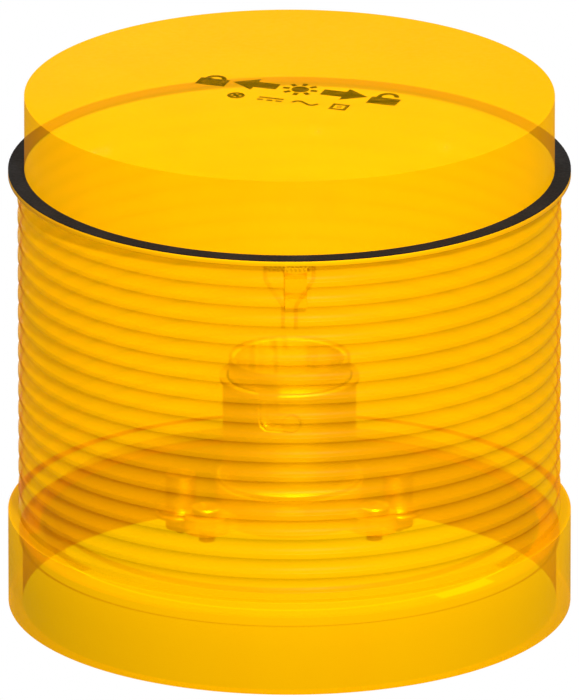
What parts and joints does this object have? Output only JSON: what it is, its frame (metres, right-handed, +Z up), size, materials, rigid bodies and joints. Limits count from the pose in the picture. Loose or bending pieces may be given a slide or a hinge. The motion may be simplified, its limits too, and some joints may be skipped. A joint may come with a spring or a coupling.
{
  "type": "signal tower light module",
  "caption": "Translucent amber drum module for a stacking signal tower, with fluted wall, plain spigot, seal, socket collar and a bayonet lamp on a twist-out base.",
  "frame": {"origin": "centre of the collar's bottom face, where the module stands", "axes": "+Z up the tower along the drum's axis, -Y towards the front with the index mark, +X right"},
  "size_m": [0.07, 0.07, 0.0662],
  "materials": {
    "amber_polycarbonate": "translucent amber, moulded gloss",
    "seal_rubber": "matt black moulded rubber",
    "print_ink": "dark pad print",
    "amber_base": "translucent amber, moulded",
    "holder_plastic": "semi-clear amber moulding",
    "cap_brass": "plain drawn brass",
    "zinc_screw": "yellow-passivated zinc",
    "contact_brass": "bright brass",
    "spring_steel": "drawn wire",
    "steatite": "cream steatite ceramic",
    "solder": "dull solder",
    "cement": "basing cement",
    "lamp_glass": "clear tube glass",
    "lead_wire": "nickel wire",
    "tungsten": "coiled tungsten wire"
  },
  "bodies": {
    "lens": {"lens_body": "amber_polycarbonate", "seal_ring": "seal_rubber", "top_marking": "print_ink"},
    "insert": {"base_plate": "amber_base", "lamp_holder": "holder_plastic", "holder_sleeve": "cap_brass", "holder_screws": "zinc_screw", "contact_bush_1": "contact_brass", "contact_bush_2": "contact_brass", "contact_spring_1": "spring_steel", "contact_spring_2": "spring_steel", "terminal_strip_1": "contact_brass", "terminal_strip_2": "contact_brass", "plunger_spring_1": "spring_steel", "plunger_spring_2": "spring_steel"},
    "supply_contact_1": {"contact_pin_1": "contact_brass"},
    "supply_contact_2": {"contact_pin_2": "contact_brass"},
    "lamp_contact_1": {"lamp_plunger_1": "contact_brass"},
    "lamp_contact_2": {"lamp_plunger_2": "contact_brass"},
    "lamp": {"lamp_cap": "cap_brass", "lamp_pins": "cap_brass", "lamp_insulator": "steatite", "lamp_contacts": "solder", "basing_cement": "cement", "lamp_bulb": "lamp_glass", "lamp_stem": "lamp_glass", "lamp_leads": "lead_wire", "lamp_filament": "tungsten"}
  },
  "joints": [
    {"name": "insert_turn", "type": "hinge", "parent": "lens", "child": "insert", "pos_m": [0, 0, 0.0104], "axis": [0, 0, 1], "range_deg": [-18, 0]},
    {"name": "lamp_turn", "type": "hinge", "parent": "insert", "child": "lamp", "pos_m": [0, 0, 0.026], "axis": [0, 0, 1], "range_deg": [-20, 0]},
    {"name": "supply_contact_1_press", "type": "slide", "parent": "insert", "child": "supply_contact_1", "axis": [0, 0, 1], "range_m": [0, 0.0009], "stiffness_N_per_m": 300, "springref_m": -0.001, "deforming": ["contact_spring_1"]},
    {"name": "lamp_contact_1_press", "type": "slide", "parent": "insert", "child": "lamp_contact_1", "axis": [0, 0, 1], "range_m": [-0.0012, 0], "stiffness_N_per_m": 400, "springref_m": 0.001, "deforming": ["plunger_spring_1"]},
    {"name": "supply_contact_2_press", "type": "slide", "parent": "insert", "child": "supply_contact_2", "axis": [0, 0, 1], "range_m": [0, 0.0009], "stiffness_N_per_m": 300, "springref_m": -0.001, "deforming": ["contact_spring_2"]},
    {"name": "lamp_contact_2_press", "type": "slide", "parent": "insert", "child": "lamp_contact_2", "axis": [0, 0, 1], "range_m": [-0.0012, 0], "stiffness_N_per_m": 400, "springref_m": 0.001, "deforming": ["plunger_spring_2"]}
  ]
}
